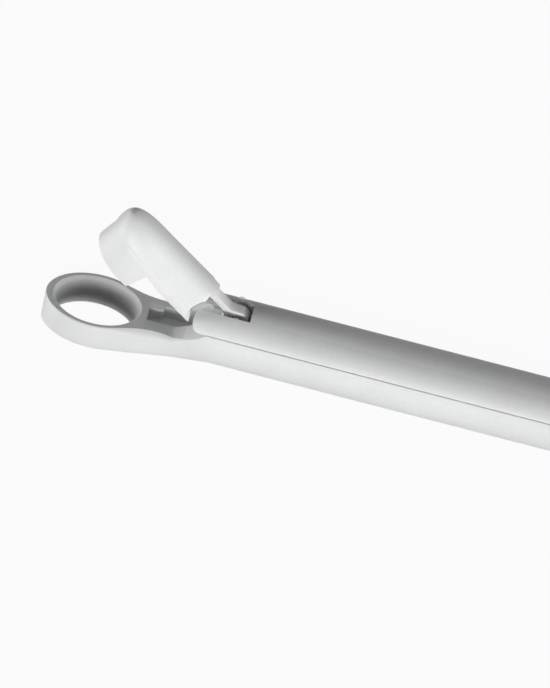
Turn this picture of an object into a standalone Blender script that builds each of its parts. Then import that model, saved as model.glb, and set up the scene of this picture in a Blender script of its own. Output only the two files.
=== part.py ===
"""Ring-handled nasal cutting forceps with a sliding shaft and a fenestrated punch jaw.

The instrument lies on its side, as it comes to rest on a table. +X runs from the jaws to the
handles, +Y is the side to which the upper jaw opens, and +Z is up. The origin is on the lower
side face of the handle hub, under the shaft's axis. All sizes are in metres.
"""
import math

import bmesh
import bpy
from mathutils import Vector

for old in list(bpy.data.objects):
    bpy.data.objects.remove(old, do_unlink=True)

MM = 0.001

# Driving sizes of the whole instrument
WORKING_LENGTH = 130.0 * MM       # from the tip of the lower jaw to the handle hinge
HUB_THICKNESS = 7.0 * MM          # the hub and both rings share it, so they lie flat
SHAFT_RADIUS = 2.5 * MM
JAW_OPENING = math.radians(41.0)

# Clearances
PIN_CLEARANCE = 0.04 * MM         # radial, round a pin that turns
SLIDE_GAP = 0.05 * MM             # between the slider and the fixed shaft
SOCKET_GAP = 0.05 * MM            # radial, round a seated piece
SIDE_GAP = 0.08 * MM              # each side of a plate in its slot
EYE_GAP = 0.06 * MM               # round a pin in a long hole

# Lower jaw: a flat ring with an oval hole, on a narrow neck
RING_LENGTH_RADIUS = 3.7 * MM
RING_WIDTH_RADIUS = 2.56 * MM
HOLE_LENGTH_RADIUS = 3.0 * MM
HOLE_WIDTH_RADIUS = 2.06 * MM
RING_CENTRE_AHEAD = 9.1 * MM      # of the jaw pivot
JAW_DEPTH = 2.88 * MM              # of the jaw's underside below the shaft's axis
JAW_FLAT = -0.3 * MM              # level of the jaw's flat face
PARTING_LEVEL = 1.24 * MM         # where the slider meets the fixed shaft
HOLE_CHAMFER = 0.24 * MM
NECK_FRONT_HALF = 2.2 * MM
NECK_REAR_HALF = 1.9 * MM         # at the waist
NECK_AHEAD = 7.0 * MM             # of the jaw pivot, where the ring passes into the neck
WAIST_AHEAD = 3.8 * MM
ROUND_AHEAD = 0.2 * MM            # the section is round from here
SQUARE_AHEAD = 6.5 * MM           # and a full rounded box up to here
NECK_BLEND = 8.0                  # exponent of the fillet between ring and neck
NECK_SQUARENESS = 9.0             # exponent of the section's rounded box
RING_EDGE = 0.08 * MM             # broken edge round the ring's flat face
NECK_EDGE = 0.66 * MM             # wider bevel along the neck's flat face
SHAFT_EDGE = 0.05 * MM            # broken edge along the parting line
SEAM_BEHIND = 4.5 * MM            # brazed seam between jaw and shaft, behind the jaw pivot
SEAM_GAP = 0.03 * MM
RAMP_START_AHEAD = 3.45 * MM      # where the flat starts to rise to the parting level
RAMP_END_AHEAD = 1.1 * MM
RAMP_HOLLOW = 1.35                # exponent of the ramp's rise
BEVEL_START_AHEAD = 7.0 * MM      # the neck's bevel grows from here
BEVEL_FULL_AHEAD = 5.0 * MM
BEVEL_FADE_AHEAD = 2.8 * MM       # and fades from here
BEVEL_END_AHEAD = 1.2 * MM

# Slots in the fixed shaft and the slider for the upper jaw's tang
JAW_SLOT_HALF = 0.62 * MM
JAW_SLOT_AHEAD = 5.43 * MM
JAW_SLOT_BEHIND = 1.75 * MM
JAW_SLOT_FLOOR = -1.3 * MM
RELIEF_WIDTH = 0.37 * MM          # the slot is wider by this on its far side
RELIEF_AHEAD = 4.4 * MM
SLIDER_SLOT_HALF = 0.88 * MM
SLIDER_NOSE_AHEAD = 2.2 * MM      # of the jaw pivot, with the jaw open
SLIDER_SLOT_BEHIND = 1.68 * MM

# Upper jaw, in its own frame: closed, with the pivot at the origin
DRIVE_ARM = 1.96 * MM             # height of the drive pin above the jaw pivot
PUNCH_CLEARANCE = 0.15 * MM       # between the plug and the hole
PUNCH_DEPTH = 1.7 * MM            # of the plug below the jaw's flat underside
UNDERSIDE_LEVEL = -0.05 * MM
CREASE_HEIGHT = 0.85 * MM
CROWN_HEIGHT = 2.4 * MM
FRONT_LEAN = 0.32                 # lean of the front wall above the plug, for each unit of height
PLUG_REAR_AHEAD = 8.17 * MM
NOTCH_HEIGHT = 0.2 * MM
NOTCH_FRONT_AHEAD = 6.5 * MM
CROWN_REAR_AHEAD = 3.35 * MM
CHEEK_RELIEF_AHEAD = 3.84 * MM    # the crown's sides stop here, clear of the slider's cheeks
CHEEK_RELIEF_HALF = 0.72 * MM
SHOULDER_AHEAD = 3.2 * MM
SHOULDER_HEIGHT = 1.05 * MM
SHOULDER_RADIUS = 1.02 * MM
TANG_HALF_THICKNESS = 0.4 * MM
TANG_TOP = 2.2 * MM
TANG_BOTTOM = 1.72 * MM
EYE_RADIUS = 0.82 * MM
FOOT_RADIUS = 0.85 * MM

# Pins and studs
JAW_PIN_RADIUS = 0.42 * MM
DRIVE_PIN_RADIUS = 0.32 * MM
BLIND_WALL = 0.5 * MM             # metal left over a pin's blind end
STUD_STEM_RADIUS = 0.6 * MM
STUD_HEAD_RADIUS = 1.1 * MM
STUD_HEAD_THICKNESS = 0.6 * MM
STUD_LIP = 1.1 * MM               # shaft metal between the stud's head and the slider
STUD_SEAT_DEPTH = 0.8 * MM
FRONT_STUD_BEHIND_PIVOT = 14.0 * MM
REAR_STUD_AHEAD_OF_HINGE = 24.0 * MM
RETAINING_PIN_RADIUS = 0.6 * MM
RETAINING_PIN_AHEAD = 9.5 * MM
RETAINING_PIN_LEVEL = -0.9 * MM

# Hub, hinge and link
HINGE_BELOW = 7.0 * MM            # handle hinge below the shaft's axis
LINK_ABOVE = 2.5 * MM             # link pin above the shaft's axis
HUB_RADIUS = 8.0 * MM
COLLAR_RADIUS = 3.45 * MM
COLLAR_AHEAD = 15.0 * MM
COLLAR_TAPER = 3.0 * MM
COLLAR_FRONT_RADIUS = 2.95 * MM
SHAFT_BEHIND_HINGE = 8.0 * MM
HUB_BEHIND_HINGE = 9.5 * MM
HUB_EDGE = 0.5 * MM
TONGUE_HALF = 1.2 * MM
TONGUE_WIDTH_HALF = 1.6 * MM
TONGUE_TIP_RADIUS = 1.25 * MM
TONGUE_SWING = 0.75 * MM          # room each side of the tongue in the hub's slot
TONGUE_SHOULDER = 1.6 * MM        # the tongue's sides end this far below the link pin
LEVER_BOSS_RADIUS = 3.9 * MM
LEVER_SWING = 0.5 * MM            # room round the boss in the hub's slot
SCREW_RADIUS = 1.5 * MM
SCREW_HEAD_RADIUS = 2.6 * MM
SCREW_HEAD_HEIGHT = 1.1 * MM
SCREW_HEAD_PROUD = 0.3 * MM
SCREW_SLOT_HALF = 0.3 * MM
SCREW_SLOT_DEPTH = 0.5 * MM
LINK_PIN_RADIUS = 0.6 * MM
LINK_BLOCK_HALF_LENGTH = 5.6 * MM
LINK_BLOCK_TOP = 4.3 * MM
LINK_BLOCK_HALF_WIDTH = 2.45 * MM
BLOCK_CORNER = 1.6 * MM
BLOCK_STEP = 0.02 * MM            # the block's base above the slider's

# Rings and their branches
RING_INNER_RADIUS = 11.0 * MM
RING_BAR_HALF = 2.4 * MM
THUMB_RING_AT = Vector((47.0 * MM, -35.0 * MM))
FINGER_RING_AT = Vector((19.0 * MM, -61.0 * MM))   # with the handle halfway through its travel
BRANCH_ROOT_HALF = 3.4 * MM
BRANCH_END_HALF = 2.3 * MM
BRANCH_ROOT_DEPTH = 2.9 * MM
BRANCH_END_DEPTH = 2.5 * MM

# Numbers of facets
ROUND_FACETS = 48
PIN_FACETS = 24

# Places that follow from the sizes above
ROD_Z = HUB_THICKNESS / 2
RING_FRONT_AHEAD = RING_CENTRE_AHEAD + RING_LENGTH_RADIUS
PIVOT = Vector((-(WORKING_LENGTH - RING_FRONT_AHEAD), -0.2 * MM, ROD_Z))
HINGE = Vector((0.0, -HINGE_BELOW, ROD_Z))
STROKE = 2 * DRIVE_ARM * math.tan(JAW_OPENING / 2)
LINK_ARM = LINK_ABOVE + HINGE_BELOW
HANDLE_TRAVEL = 2 * math.atan(STROKE / 2 / LINK_ARM)
DRIVE_PIN = Vector((PIVOT.x + STROKE / 2, PIVOT.y + DRIVE_ARM, ROD_Z))
LINK_PIN = Vector((STROKE / 2, LINK_ABOVE, ROD_Z))
NOSE_X = PIVOT.x - SLIDER_NOSE_AHEAD
SLIDER_BASE = PARTING_LEVEL + SLIDE_GAP
SHAFT_END_X = SHAFT_BEHIND_HINGE


def steel(name, colour, roughness):
    """A plain steel material."""
    material = bpy.data.materials.new(name)
    material.use_nodes = True
    shader = material.node_tree.nodes["Principled BSDF"]
    shader.inputs["Base Color"].default_value = (*colour, 1.0)
    shader.inputs["Metallic"].default_value = 1.0
    shader.inputs["Roughness"].default_value = roughness
    return material


def add_object(name, mesh_builder, parent=None, sharp_angle=35.0):
    """Make an object from a bmesh, with smooth round faces and sharp edges."""
    bmesh.ops.recalc_face_normals(mesh_builder, faces=mesh_builder.faces)
    mesh = bpy.data.meshes.new(name)
    mesh_builder.to_mesh(mesh)
    mesh_builder.free()
    mesh.shade_smooth()
    mesh.set_sharp_from_angle(angle=math.radians(sharp_angle))
    piece = bpy.data.objects.new(name, mesh)
    bpy.context.collection.objects.link(piece)
    piece.parent = parent
    return piece


def add_axis(name, place, turn=0.0):
    """An empty on a joint's axis, turned about Z to the rest pose."""
    axis = bpy.data.objects.new(name, None)
    axis.location = place
    axis.rotation_euler = (0.0, 0.0, turn)
    axis.empty_display_size = 5 * MM
    bpy.context.collection.objects.link(axis)
    return axis


def finish(piece, material):
    piece.data.materials.clear()
    piece.data.materials.append(material)
    return piece


def combine(piece, tool, operation):
    """Add a boolean with a tool object, which is kept as a hidden wire guide."""
    tool.hide_render = True
    tool.display_type = "WIRE"
    modifier = piece.modifiers.new(operation.title() + "." + tool.name, "BOOLEAN")
    modifier.operation = operation
    modifier.solver = "EXACT"
    modifier.object = tool
    return piece


def cut(piece, *tools):
    for tool in tools:
        combine(piece, tool, "DIFFERENCE")
    return piece


def join(piece, *tools):
    for tool in tools:
        combine(piece, tool, "UNION")
    return piece


def soften(piece, width, angle=35.0):
    """Round the sharp edges slightly."""
    bevel = piece.modifiers.new("Edges", "BEVEL")
    bevel.width = width
    bevel.segments = 1
    bevel.limit_method = "ANGLE"
    bevel.angle_limit = math.radians(angle)
    return piece


def arc(centre, radius, start, end, steps):
    """Points on a circle in the XY plane, angles in degrees."""
    points = []
    for step in range(steps + 1):
        angle = math.radians(start + (end - start) * step / steps)
        points.append((centre[0] + radius * math.cos(angle), centre[1] + radius * math.sin(angle)))
    return points


def circle(centre, radius, facets):
    return arc(centre, radius, 0.0, 360.0 * (facets - 1) / facets, facets - 1)


def stadium(start, end, radius, steps):
    """A long hole between two centres."""
    heading = math.degrees(math.atan2(end[1] - start[1], end[0] - start[0]))
    return (arc(end, radius, heading - 90.0, heading + 90.0, steps)
            + arc(start, radius, heading + 90.0, heading + 270.0, steps))


def bridge(name, loops, parent=None, sharp_angle=35.0):
    """A closed solid through a row of loops with the same number of points."""
    builder = bmesh.new()
    rings = [[builder.verts.new(point) for point in loop] for loop in loops]
    count = len(rings[0])
    for first, second in zip(rings, rings[1:]):
        for index in range(count):
            after = (index + 1) % count
            builder.faces.new((first[index], first[after], second[after], second[index]))
    builder.faces.new(rings[0])
    builder.faces.new(list(reversed(rings[-1])))
    return add_object(name, builder, parent, sharp_angle)


def prism(name, outline, low, high, parent=None):
    """An outline in the XY plane, extruded from one height to another."""
    loops = [[Vector((x, y, z)) for x, y in outline] for z in (low, high)]
    return bridge(name, loops, parent)


def rod_along_x(name, radius, start, end, level=0.0):
    """A round bar along X at a level above or below the shaft's axis."""
    loops = []
    for x in (start, end):
        loops.append([Vector((x, y, z)) for y, z in circle((level, ROD_Z), radius, ROUND_FACETS)])
    return bridge(name, loops)


def box(name, low, high):
    outline = [(low[0], low[1]), (high[0], low[1]), (high[0], high[1]), (low[0], high[1])]
    return prism(name, outline, low[2], high[2])


def turned_along_z(name, place, profile, facets, parent=None):
    """A turned piece from (radius, height) steps, round an axis along Z."""
    loops = []
    for radius, height in profile:
        loops.append([Vector((x, y, height)) for x, y in circle(place, radius, facets)])
    return bridge(name, loops, parent)


def turned_along_y(name, x, profile, facets):
    """A turned piece from (radius, level) steps, round an axis along Y."""
    loops = []
    for radius, level in profile:
        loops.append([Vector((px, level, pz)) for px, pz in circle((x, ROD_Z), radius, facets)])
    return bridge(name, loops)


def smooth_step(value, start, end):
    share = min(max((value - start) / (end - start), 0.0), 1.0)
    return share * share * (3.0 - 2.0 * share)


def ellipse_share(distance, radius):
    """Half-height of a unit ellipse at a distance from its centre."""
    share = min(abs(distance) / radius, 1.0)
    return math.sqrt(1.0 - share * share)


def shaft_half_width(x):
    """Half-width of the lower jaw's outline at a place along the shaft."""
    ahead = PIVOT.x - x
    ring = RING_WIDTH_RADIUS * ellipse_share(ahead - RING_CENTRE_AHEAD, RING_LENGTH_RADIUS)
    neck = NECK_FRONT_HALF + (NECK_REAR_HALF - NECK_FRONT_HALF) * smooth_step(-ahead, -NECK_AHEAD, -WAIST_AHEAD)
    rear = neck + (SHAFT_RADIUS - neck) * smooth_step(-ahead, -WAIST_AHEAD, -ROUND_AHEAD)
    rear *= smooth_step(-ahead, -RING_CENTRE_AHEAD, -NECK_AHEAD)
    return (ring ** NECK_BLEND + rear ** NECK_BLEND) ** (1.0 / NECK_BLEND)


def shaft_section(x):
    """A section of the fixed shaft: a rounded box at the jaw, a circle behind it."""
    ahead = PIVOT.x - x
    top = shaft_top(ahead)
    edge = shaft_edge(ahead)
    round_share = smooth_step(-ahead, -SQUARE_AHEAD, -ROUND_AHEAD)
    squareness = NECK_SQUARENESS + (2.0 - NECK_SQUARENESS) * round_share ** 0.6
    depth = JAW_DEPTH + (SHAFT_RADIUS - JAW_DEPTH) * round_share
    half_width = shaft_half_width(x)
    level = top - edge
    start = math.copysign(math.asin((abs(level) / depth) ** (squareness / 2.0)), level)
    steps = 30
    inset = half_width * math.cos(start) ** (2.0 / squareness) - edge
    loop = [Vector((x, top, ROD_Z + inset))]
    for step in range(steps + 1):
        angle = start - (math.pi + 2.0 * start) * step / steps
        across = math.copysign(abs(math.cos(angle)) ** (2.0 / squareness), math.cos(angle))
        down = math.copysign(abs(math.sin(angle)) ** (2.0 / squareness), math.sin(angle))
        loop.append(Vector((x, depth * down, ROD_Z + half_width * across)))
    loop.append(Vector((x, top, ROD_Z - inset)))
    return loop


def shaft_top(ahead):
    """Level of the fixed shaft's upper face: the jaw's flat, a hollow ramp, the parting level."""
    share = min(max((RAMP_START_AHEAD - ahead) / (RAMP_START_AHEAD - RAMP_END_AHEAD), 0.0), 1.0)
    return JAW_FLAT + (PARTING_LEVEL - JAW_FLAT) * share ** RAMP_HOLLOW


def shaft_edge(ahead):
    """Width of the bevel between the upper face and the wall."""
    neck = smooth_step(-ahead, -BEVEL_START_AHEAD, -BEVEL_FULL_AHEAD)
    neck -= smooth_step(-ahead, -BEVEL_FADE_AHEAD, -BEVEL_END_AHEAD)
    base = RING_EDGE if ahead > RAMP_START_AHEAD else SHAFT_EDGE
    return base + (NECK_EDGE - base) * neck


def oval_along_y(name, length_radius, width_radius, levels):
    """A cutter for the jaw's oval hole: (extra radius, level) steps along Y."""
    centre_x = PIVOT.x - RING_CENTRE_AHEAD
    loops = []
    for extra, level in levels:
        loop = []
        for x, z in circle((0.0, 0.0), 1.0, ROUND_FACETS):
            loop.append(Vector((centre_x + x * (length_radius + extra), level,
                                ROD_Z + z * (width_radius + extra))))
        loops.append(loop)
    return bridge(name, loops)


def make_lower_jaw(material):
    """The fenestrated lower jaw with the fork in which the upper jaw turns."""
    stations = []
    front_steps = 11
    for step in range(front_steps):
        angle = math.radians(4.0 + 86.0 * step / (front_steps - 1))
        stations.append(PIVOT.x - RING_CENTRE_AHEAD - RING_LENGTH_RADIUS * math.cos(angle))
    spacing = 0.5 * MM
    neck_start = PIVOT.x - RING_CENTRE_AHEAD + spacing
    neck_end = PIVOT.x - RAMP_START_AHEAD
    neck_steps = round((neck_end - neck_start) / spacing)
    stations += [neck_start + (neck_end - neck_start) * step / neck_steps for step in range(neck_steps + 1)]
    ramp_steps = 7
    ramp = RAMP_START_AHEAD - RAMP_END_AHEAD
    stations += [neck_end + ramp * (step + 1) / ramp_steps for step in range(ramp_steps)]
    stations += [PIVOT.x - RAMP_END_AHEAD + 0.45 * MM, PIVOT.x + SEAM_BEHIND]
    lower_jaw = bridge("lower_jaw", [shaft_section(x) for x in stations], sharp_angle=32.0)

    below = -JAW_DEPTH - 1.0 * MM
    hole = oval_along_y("cut_jaw_hole", HOLE_LENGTH_RADIUS, HOLE_WIDTH_RADIUS,
                        [(0.0, below), (0.0, JAW_FLAT - HOLE_CHAMFER),
                         (HOLE_CHAMFER, JAW_FLAT), (HOLE_CHAMFER, JAW_FLAT + 0.5 * MM)])
    above = PARTING_LEVEL + 1.0 * MM
    slot = box("cut_jaw_slot",
               (PIVOT.x - JAW_SLOT_AHEAD, JAW_SLOT_FLOOR, ROD_Z - JAW_SLOT_HALF),
               (PIVOT.x + JAW_SLOT_BEHIND, above, ROD_Z + JAW_SLOT_HALF))
    relief = box("cut_slot_relief",
                 (PIVOT.x - RELIEF_AHEAD, JAW_SLOT_FLOOR, ROD_Z - JAW_SLOT_HALF - RELIEF_WIDTH),
                 (PIVOT.x - 1.2 * MM, above, ROD_Z))
    cut(lower_jaw, hole, slot, relief)
    cut(lower_jaw, jaw_pin_hole("cut_jaw_pin_hole", SOCKET_GAP))
    return finish(lower_jaw, material)


def make_fixed_shaft(material):
    """The lower half of the shaft, behind the seam."""
    above = PARTING_LEVEL + 1.0 * MM
    ends = (PIVOT.x + SEAM_BEHIND + SEAM_GAP, SHAFT_END_X)
    shaft = bridge("fixed_shaft", [shaft_section(x) for x in ends], sharp_angle=32.0)
    for name, x in stud_places():
        cut(shaft, *stud_slot(name, x))
    half_slot = TONGUE_WIDTH_HALF + 0.75 * MM
    cut(shaft, box("cut_shaft_tongue", (-half_slot, -SHAFT_RADIUS - 1.0 * MM, ROD_Z - TONGUE_HALF - SIDE_GAP),
                   (half_slot, above, ROD_Z + TONGUE_HALF + SIDE_GAP)))
    cut(shaft, retaining_pin_hole("cut_shaft_retaining_hole"))
    return finish(shaft, material)


def jaw_pin_hole(name, gap):
    """The jaw pin's hole, blind on the upper side."""
    radius = JAW_PIN_RADIUS + gap
    return turned_along_z(name, PIVOT, [(radius, ROD_Z - SHAFT_RADIUS - 1.0 * MM),
                                        (radius, ROD_Z + SHAFT_RADIUS - BLIND_WALL)], PIN_FACETS)


def stud_places():
    """Names and places along X of the two studs that hold the slider down."""
    return (("front", PIVOT.x + FRONT_STUD_BEHIND_PIVOT), ("rear", -REAR_STUD_AHEAD_OF_HINGE))


def stud_slot(name, x):
    """A keyhole slot: narrow at the lip, wide below it, with a round entry behind."""
    end_gap = 0.15 * MM
    head = STUD_HEAD_RADIUS + end_gap
    stem = STUD_STEM_RADIUS + SIDE_GAP
    entry_x = x + STUD_STEM_RADIUS + end_gap + head + 0.6 * MM
    floor = PARTING_LEVEL - STUD_LIP - STUD_HEAD_THICKNESS - 0.3 * MM
    top = PARTING_LEVEL + 0.5 * MM
    channel = box("cut_%s_channel" % name, (x - STROKE - head, floor, ROD_Z - head),
                  (entry_x, PARTING_LEVEL - STUD_LIP, ROD_Z + head))
    narrow = box("cut_%s_narrow" % name,
                 (x - STROKE - STUD_STEM_RADIUS - end_gap, floor + 0.1 * MM, ROD_Z - stem),
                 (entry_x, top, ROD_Z + stem))
    entry = turned_along_y("cut_%s_entry" % name, entry_x, [(head, floor - 0.05 * MM), (head, top)], PIN_FACETS)
    return channel, narrow, entry


def retaining_pin_hole(name):
    place = (-RETAINING_PIN_AHEAD, RETAINING_PIN_LEVEL)
    radius = RETAINING_PIN_RADIUS + SOCKET_GAP
    return turned_along_z(name, place, [(radius, -1.0 * MM), (radius, HUB_THICKNESS + 1.0 * MM)], PIN_FACETS)


def make_slider(material):
    """The upper half of the shaft: a forked round nose in front, a link block behind."""
    nose_radius = (SHAFT_RADIUS - SLIDER_BASE) / 2
    nose_centre = (NOSE_X + nose_radius, SLIDER_BASE + nose_radius)
    rear_x = LINK_PIN.x + LINK_BLOCK_HALF_LENGTH
    side = arc(nose_centre, nose_radius, 90.0, 270.0, 14)
    above = SHAFT_RADIUS + 0.5 * MM
    bar_end = rear_x - 0.5 * MM
    side += [(bar_end, SLIDER_BASE), (bar_end, above), (nose_centre[0] + 1.5 * MM, above),
             (nose_centre[0] + 0.5 * MM, SHAFT_RADIUS)]
    slider = prism("slider", side, ROD_Z - SHAFT_RADIUS - 0.5 * MM, ROD_Z + SHAFT_RADIUS + 0.5 * MM)
    round_bar = rod_along_x("guide_slider_round", SHAFT_RADIUS, NOSE_X - 1.0 * MM, rear_x + 1.0 * MM)
    combine(slider, round_bar, "INTERSECT")

    front_x = LINK_PIN.x - LINK_BLOCK_HALF_LENGTH
    ramp = 4.0 * MM
    block_outline = [(front_x - ramp, SHAFT_RADIUS - 0.4 * MM)]
    block_outline += arc((front_x + BLOCK_CORNER, LINK_BLOCK_TOP - BLOCK_CORNER), BLOCK_CORNER, 130.0, 90.0, 5)
    block_outline += arc((rear_x - BLOCK_CORNER, LINK_BLOCK_TOP - BLOCK_CORNER), BLOCK_CORNER, 90.0, 0.0, 8)
    block_base = SLIDER_BASE + BLOCK_STEP
    block_outline += [(rear_x, block_base), (front_x - ramp, block_base)]
    block_outline.reverse()
    block = prism("guide_link_block", block_outline,
                  ROD_Z - LINK_BLOCK_HALF_WIDTH, ROD_Z + LINK_BLOCK_HALF_WIDTH)
    soften(block, 0.5 * MM, 50.0)
    join(slider, block)

    slot_end = PIVOT.x + SLIDER_SLOT_BEHIND
    cut(slider, box("cut_slider_fork", (NOSE_X - 1.0 * MM, SLIDER_BASE - 1.0 * MM, ROD_Z - SLIDER_SLOT_HALF),
                    (slot_end, SHAFT_RADIUS + 1.0 * MM, ROD_Z + SLIDER_SLOT_HALF)))
    cut(slider, turned_along_z("cut_drive_pin_hole", DRIVE_PIN,
                               [(DRIVE_PIN_RADIUS + SOCKET_GAP, ROD_Z - SHAFT_RADIUS),
                                (DRIVE_PIN_RADIUS + SOCKET_GAP, ROD_Z + drive_pin_reach())], PIN_FACETS))
    for name, x in stud_places():
        radius = STUD_STEM_RADIUS + SOCKET_GAP
        seat = turned_along_y("cut_%s_stud_seat" % name, x,
                              [(radius, SLIDER_BASE - 0.5 * MM), (radius, SLIDER_BASE + STUD_SEAT_DEPTH)], PIN_FACETS)
        cut(slider, seat)
    pocket = TONGUE_TIP_RADIUS + 0.45 * MM
    cut(slider, box("cut_link_pocket",
                    (LINK_PIN.x - pocket - 0.3 * MM, SLIDER_BASE - 0.5 * MM, ROD_Z - TONGUE_HALF - SIDE_GAP),
                    (LINK_PIN.x + pocket + 0.3 * MM, LINK_BLOCK_TOP + 0.5 * MM, ROD_Z + TONGUE_HALF + SIDE_GAP)))
    link_radius = LINK_PIN_RADIUS + SOCKET_GAP
    cut(slider, turned_along_z("cut_link_pin_hole", LINK_PIN,
                               [(link_radius, ROD_Z - 4.0 * MM), (link_radius, ROD_Z + 4.0 * MM)], PIN_FACETS))
    return finish(slider, material)


def slider_surface(level):
    """Half-width of the round slider at a level."""
    return math.sqrt(SHAFT_RADIUS ** 2 - level ** 2)


def drive_pin_reach():
    """How far the drive pin's blind hole goes above the shaft's axis."""
    return slider_surface(DRIVE_PIN.y + DRIVE_PIN_RADIUS + SOCKET_GAP) - 0.06 * MM


def make_upper_jaw(axis, material):
    """The punch jaw, made closed in the frame of its pivot, then opened with it."""
    centre_x = -RING_CENTRE_AHEAD
    length_radius = HOLE_LENGTH_RADIUS - PUNCH_CLEARANCE
    half_width = HOLE_WIDTH_RADIUS - PUNCH_CLEARANCE
    bottom = UNDERSIDE_LEVEL - PUNCH_DEPTH
    stations = []
    front_steps = 11
    for step in range(front_steps):
        angle = math.radians(5.0 + 85.0 * step / (front_steps - 1))
        stations.append(centre_x - length_radius * math.cos(angle))
    stations += [-CROWN_REAR_AHEAD - 1.2 * MM, -CROWN_REAR_AHEAD - 0.5 * MM, -CROWN_REAR_AHEAD]
    loops = []
    for x in stations:
        front = 1.0 if x > centre_x else ellipse_share(x - centre_x, length_radius)
        rise = (CROWN_HEIGHT - CREASE_HEIGHT) * front ** 0.32
        lean = FRONT_LEAN * max(0.0, (centre_x - x) / length_radius)
        loops.append([Vector((point.x - lean * max(0.0, point.y - UNDERSIDE_LEVEL), point.y, point.z))
                      for point in jaw_section(x, half_width * front, bottom, rise)])
    jaw = bridge("upper_jaw", loops, axis, sharp_angle=24.0)

    underside = [(-PLUG_REAR_AHEAD, bottom - 1.0 * MM), (-PLUG_REAR_AHEAD, NOTCH_HEIGHT),
                 (-NOTCH_FRONT_AHEAD, UNDERSIDE_LEVEL), (0.0, UNDERSIDE_LEVEL), (0.0, bottom - 1.0 * MM)]
    shoulder = circle((-SHOULDER_AHEAD, SHOULDER_HEIGHT), SHOULDER_RADIUS, ROUND_FACETS)
    wide = 3.0 * MM
    cut(jaw, prism("cut_jaw_underside", underside, -wide, wide, axis))
    cut(jaw, prism("cut_jaw_shoulder", shoulder, -wide, wide, axis))
    ledge = SHOULDER_HEIGHT + 0.17 * MM
    relief = [(-CHEEK_RELIEF_AHEAD, ledge), (-1.0 * MM, ledge), (-1.0 * MM, wide), (-CHEEK_RELIEF_AHEAD, wide)]
    for side in (-1, 1):
        inner, outer = sorted((side * CHEEK_RELIEF_HALF, side * wide))
        cut(jaw, prism("cut_cheek_relief", relief, inner, outer, axis))

    tang = prism("guide_tang", tang_outline(), -TANG_HALF_THICKNESS, TANG_HALF_THICKNESS, axis)
    join(jaw, tang)
    pin_eye = turned_along_z("cut_jaw_pivot_eye", (0.0, 0.0),
                             [(JAW_PIN_RADIUS + PIN_CLEARANCE, -wide), (JAW_PIN_RADIUS + PIN_CLEARANCE, wide)],
                             PIN_FACETS, axis)
    lean = JAW_OPENING / 2
    reach = (DRIVE_ARM, DRIVE_ARM / math.cos(lean))
    ends = [(-r * math.sin(lean), r * math.cos(lean)) for r in reach]
    drive_eye = prism("cut_drive_eye", stadium(ends[0], ends[1], DRIVE_PIN_RADIUS + EYE_GAP, 12),
                      -wide, wide, axis)
    cut(jaw, pin_eye, drive_eye)
    return finish(jaw, material)


def jaw_section(x, half_width, bottom, rise):
    """Upright walls up to the crease, and an arched crown that leans in from it."""
    lean_in = math.radians(24.0)
    loop = [Vector((x, bottom, half_width)), Vector((x, UNDERSIDE_LEVEL, half_width))]
    steps = 14
    for step in range(steps + 1):
        angle = lean_in + (math.pi - 2 * lean_in) * step / steps
        across = half_width * math.cos(angle) / math.cos(lean_in)
        up = rise * (math.sin(angle) - math.sin(lean_in)) / (1.0 - math.sin(lean_in))
        loop.append(Vector((x, CREASE_HEIGHT + up, across)))
    loop += [Vector((x, UNDERSIDE_LEVEL, -half_width)), Vector((x, bottom, -half_width))]
    return loop


def tang_outline():
    """Side view of the tang: a strip from the crown, an eye for the drive pin and a foot."""
    lean = JAW_OPENING / 2
    middle = (DRIVE_ARM + DRIVE_ARM / math.cos(lean)) / 2
    eye = (-middle * math.sin(lean), middle * math.cos(lean))
    buried = -CROWN_REAR_AHEAD - 1.0 * MM
    outline = [(buried, TANG_TOP), (buried, TANG_BOTTOM), (-2.3 * MM, TANG_BOTTOM)]
    outline += arc((-2.3 * MM, 0.62 * MM), TANG_BOTTOM - 0.62 * MM, 80.0, 20.0, 6)
    outline += arc((0.0, 0.0), FOOT_RADIUS, 185.0, 395.0, 20)
    outline += arc(eye, EYE_RADIUS, -15.0, 118.0, 14)
    outline += [(eye[0] - 0.95 * MM, TANG_TOP)]
    return outline


def make_pin(name, place, low, high, radius, material, chamfer=0.08 * MM):
    """A plain pin along Z with chamfered ends."""
    pin = turned_along_z(name, (0.0, 0.0),
                         [(radius - chamfer, low), (radius, low + chamfer),
                          (radius, high - chamfer), (radius - chamfer, high)], PIN_FACETS)
    pin.location = (place[0], place[1], 0.0)
    return finish(pin, material)


def make_stud(name, x, material):
    """A headed stud, riveted in the slider, that runs in the shaft's keyhole slot."""
    head_top = PARTING_LEVEL - STUD_LIP - 0.1 * MM
    head_bottom = head_top - STUD_HEAD_THICKNESS
    stem_top = SLIDER_BASE + STUD_SEAT_DEPTH - 0.05 * MM
    profile = [(STUD_HEAD_RADIUS - 0.1 * MM, head_bottom), (STUD_HEAD_RADIUS, head_bottom + 0.1 * MM),
               (STUD_HEAD_RADIUS, head_top), (STUD_STEM_RADIUS, head_top), (STUD_STEM_RADIUS, stem_top)]
    return finish(turned_along_y(name, x, profile, PIN_FACETS), material)


def branch_path(points, steps):
    """Points and directions along a cubic curve."""
    rail = []
    for step in range(steps + 1):
        t = step / steps
        a, b, c, d = points
        place = a * (1 - t) ** 3 + b * 3 * t * (1 - t) ** 2 + c * 3 * t * t * (1 - t) + d * t ** 3
        heading = (b - a) * (1 - t) ** 2 + (c - b) * 2 * t * (1 - t) + (d - c) * t * t
        rail.append((place, heading.normalized(), t))
    return rail


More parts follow.
